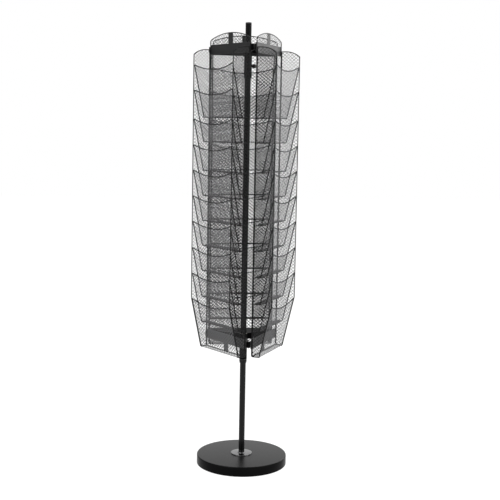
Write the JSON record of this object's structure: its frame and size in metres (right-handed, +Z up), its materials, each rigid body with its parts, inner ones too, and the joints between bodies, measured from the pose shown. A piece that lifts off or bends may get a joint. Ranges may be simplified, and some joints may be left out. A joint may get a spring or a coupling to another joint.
{
  "type": "rotating brochure display rack",
  "caption": "Floor-standing rotating literature rack: round weighted base, slim pole and a three-sided set of black mesh columns with nested sloping pockets that turn about it.",
  "frame": {"origin": "on the floor at the pole's axis, the centre of the base pad's underside", "axes": "+Z up along the pole; +Y along the outward normal of column c, so columns a and b face front left and front right"},
  "size_m": [0.3916, 0.3506, 1.633],
  "materials": {
    "powder_black": "satin black powder coat",
    "mesh_black": "satin black coated steel mesh",
    "bright_plate": "polished plate",
    "zinc_steel": "zinc plated",
    "nylon": "natural nylon",
    "plastic_black": "satin moulded",
    "rubber_black": "matt"
  },
  "bodies": {
    "stand": {"base_pad": "rubber_black", "base_disc": "powder_black", "base_bolt": "zinc_steel", "pole_flange": "bright_plate", "lower_pole": "powder_black", "pole_joiner": "zinc_steel", "upper_pole": "powder_black", "pole_cap": "plastic_black", "stop_collar": "powder_black", "thrust_washer": "nylon"},
    "rack": {"lower_hub": "powder_black", "upper_hub": "powder_black", "lower_bush": "nylon", "upper_bush": "nylon", "upper_strap_a": "powder_black", "upper_strap_b": "powder_black", "upper_strap_c": "powder_black", "lower_strap_a": "powder_black", "lower_strap_b": "powder_black", "lower_strap_c": "powder_black", "back_panel_a": "mesh_black", "back_panel_b": "mesh_black", "back_panel_c": "mesh_black", "side_wall_a_left": "mesh_black", "side_wall_a_right": "mesh_black", "side_wall_b_left": "mesh_black", "side_wall_b_right": "mesh_black", "side_wall_c_left": "mesh_black", "side_wall_c_right": "mesh_black", "pocket_a_01": "mesh_black", "pocket_a_02": "mesh_black", "pocket_a_03": "mesh_black", "pocket_a_04": "mesh_black", "pocket_a_05": "mesh_black", "pocket_a_06": "mesh_black", "pocket_a_07": "mesh_black", "pocket_a_08": "mesh_black", "pocket_a_09": "mesh_black", "pocket_a_10": "mesh_black", "pocket_b_01": "mesh_black", "pocket_b_02": "mesh_black", "pocket_b_03": "mesh_black", "pocket_b_04": "mesh_black", "pocket_b_05": "mesh_black", "pocket_b_06": "mesh_black", "pocket_b_07": "mesh_black", "pocket_b_08": "mesh_black", "pocket_b_09": "mesh_black", "pocket_b_10": "mesh_black", "pocket_c_01": "mesh_black", "pocket_c_02": "mesh_black", "pocket_c_03": "mesh_black", "pocket_c_04": "mesh_black", "pocket_c_05": "mesh_black", "pocket_c_06": "mesh_black", "pocket_c_07": "mesh_black", "pocket_c_08": "mesh_black", "pocket_c_09": "mesh_black", "pocket_c_10": "mesh_black"},
    "knob": {"lock_knob": "plastic_black"}
  },
  "joints": [
    {"name": "rack_spin", "type": "hinge", "parent": "stand", "child": "rack", "pos_m": [0, 0, 0.4], "axis": [0, 0, 1], "continuous": true},
    {"name": "lock_knob_turn", "type": "hinge", "parent": "rack", "child": "knob", "pos_m": [0, 0, 1.4775], "axis": [0.866, -0.5, 0], "range_deg": [-180, 360]}
  ]
}
